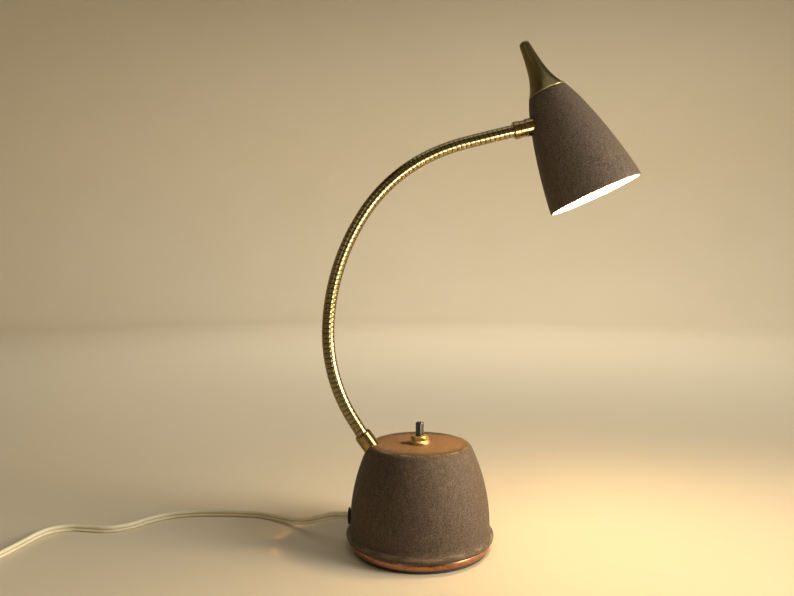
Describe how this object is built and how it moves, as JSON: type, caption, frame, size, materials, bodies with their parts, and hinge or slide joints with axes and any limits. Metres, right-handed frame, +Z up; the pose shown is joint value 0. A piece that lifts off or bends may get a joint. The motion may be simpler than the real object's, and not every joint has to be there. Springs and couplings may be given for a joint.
{
  "type": "gooseneck desk lamp",
  "caption": "Gooseneck desk lamp with a weighted conical base, push-button switch, flexible brass neck and a bullet shade with a horn finial.",
  "frame": {"origin": "centre of the base's underside, on the table", "axes": "+Z up; +X from the neck's collar towards the shade; the neck bends in the XZ plane"},
  "size_m": [0.6332, 0.1591, 0.4392],
  "materials": {
    "wrinkle_paint": "baked wrinkle enamel, taupe brown",
    "neck_brass": "polished brass plating on the gooseneck",
    "brass": "polished brass plating",
    "antique_brass": "satin antique brass",
    "copper_trim": "copper-toned plating",
    "zinc_steel": "zinc-plated steel",
    "cast_iron": "rough cast",
    "aluminium": "pressed aluminium",
    "rubber": "black moulded rubber",
    "bakelite": "black phenolic, glossy",
    "porcelain": "white glazed porcelain",
    "frosted_glass": "inside-frosted bulb glass",
    "ivory_cord": "aged ivory insulation",
    "ivory_plug": "aged ivory moulding",
    "cord_tie": "plain tie",
    "felt": "dark felt"
  },
  "bodies": {
    "base": {"felt_pad": "felt", "base_plate": "zinc_steel", "ballast_weight": "cast_iron", "ballast_bolt": "zinc_steel", "ballast_nut": "zinc_steel", "base_plate_screws": "zinc_steel", "trim_ring": "copper_trim", "base_shell": "wrinkle_paint", "cord_grommet": "rubber", "switch_body": "bakelite", "switch_bushing": "brass", "switch_ring": "brass", "switch_nut": "brass", "neck_collar": "brass", "neck_nipple": "zinc_steel", "neck_saddle_washer": "zinc_steel", "neck_locknut": "zinc_steel", "neck_link_01": "neck_brass", "supply_cord": "ivory_cord", "cord_coil": "ivory_cord", "coil_tie": "cord_tie", "plug_body": "ivory_plug", "plug_blades": "brass"},
    "button": {"push_button": "bakelite"},
    "neck_02": {"neck_link_02": "neck_brass"},
    "neck_03": {"neck_link_03": "neck_brass"},
    "neck_04": {"neck_link_04": "neck_brass"},
    "neck_05": {"neck_link_05": "neck_brass"},
    "neck_06": {"neck_link_06": "neck_brass"},
    "neck_07": {"neck_link_07": "neck_brass"},
    "neck_08": {"neck_link_08": "neck_brass"},
    "neck_09": {"neck_link_09": "neck_brass"},
    "neck_10": {"neck_link_10": "neck_brass"},
    "neck_11": {"neck_link_11": "neck_brass"},
    "neck_12": {"neck_link_12": "neck_brass"},
    "neck_13": {"neck_link_13": "neck_brass", "upper_ferrule": "brass"},
    "head": {"shade_collar": "brass", "head_nipple": "zinc_steel", "head_saddle_washer": "zinc_steel", "head_locknut": "zinc_steel", "shade": "wrinkle_paint", "finial": "antique_brass", "finial_stud": "zinc_steel", "finial_nut": "zinc_steel", "socket_bracket": "zinc_steel", "socket_body": "porcelain", "socket_shell": "brass", "socket_contact": "brass", "bulb_base": "aluminium", "bulb_glass": "frosted_glass", "bulb_contact": "zinc_steel"}
  },
  "joints": [
    {"name": "button_press", "type": "slide", "parent": "base", "child": "button", "axis": [0, 0, -1], "range_m": [0, 0.0035], "stiffness_N_per_m": 600, "springref_m": -0.002},
    {"name": "neck_bend_01", "type": "hinge", "parent": "base", "child": "neck_02", "pos_m": [-0.06489, 0, 0.11941], "axis": [0, 1, 0], "range_deg": [-12, 12]},
    {"name": "neck_sway_02", "type": "hinge", "parent": "neck_02", "child": "neck_03", "pos_m": [-0.07484, 0, 0.14492], "axis": [0.9625, 0, 0.2714], "range_deg": [-12, 12]},
    {"name": "neck_bend_03", "type": "hinge", "parent": "neck_03", "child": "neck_04", "pos_m": [-0.07969, 0, 0.17188], "axis": [0, 1, 0], "range_deg": [-12, 12]},
    {"name": "neck_sway_04", "type": "hinge", "parent": "neck_04", "child": "neck_05", "pos_m": [-0.07924, 0, 0.19926], "axis": [0.9962, 0, -0.0876], "range_deg": [-12, 12]},
    {"name": "neck_bend_05", "type": "hinge", "parent": "neck_05", "child": "neck_06", "pos_m": [-0.0749, 0, 0.2263], "axis": [0, 1, 0], "range_deg": [-12, 12]},
    {"name": "neck_sway_06", "type": "hinge", "parent": "neck_06", "child": "neck_07", "pos_m": [-0.06676, 0, 0.25244], "axis": [0.9313, 0, -0.3643], "range_deg": [-12, 12]},
    {"name": "neck_bend_07", "type": "hinge", "parent": "neck_07", "child": "neck_08", "pos_m": [-0.05499, 0, 0.27717], "axis": [0, 1, 0], "range_deg": [-12, 12]},
    {"name": "neck_sway_08", "type": "hinge", "parent": "neck_08", "child": "neck_09", "pos_m": [-0.03982, 0, 0.29997], "axis": [0.7747, 0, -0.6323], "range_deg": [-12, 12]},
    {"name": "neck_bend_09", "type": "hinge", "parent": "neck_09", "child": "neck_10", "pos_m": [-0.02052, 0, 0.3194], "axis": [0, 1, 0], "range_deg": [-12, 12]},
    {"name": "neck_sway_10", "type": "hinge", "parent": "neck_10", "child": "neck_11", "pos_m": [0.00216, 0, 0.33474], "axis": [0.4773, 0, -0.8788], "range_deg": [-12, 12]},
    {"name": "neck_bend_11", "type": "hinge", "parent": "neck_11", "child": "neck_12", "pos_m": [0.02738, 0, 0.34542], "axis": [0, 1, 0], "range_deg": [-12, 12]},
    {"name": "neck_sway_12", "type": "hinge", "parent": "neck_12", "child": "neck_13", "pos_m": [0.05391, 0, 0.3522], "axis": [0.2406, 0, -0.9706], "range_deg": [-12, 12]},
    {"name": "shade_swivel", "type": "hinge", "parent": "neck_13", "child": "head", "pos_m": [0.12177, 0, 0.36849], "axis": [0.9724, 0, 0.2334], "range_deg": [-75, 75]}
  ]
}
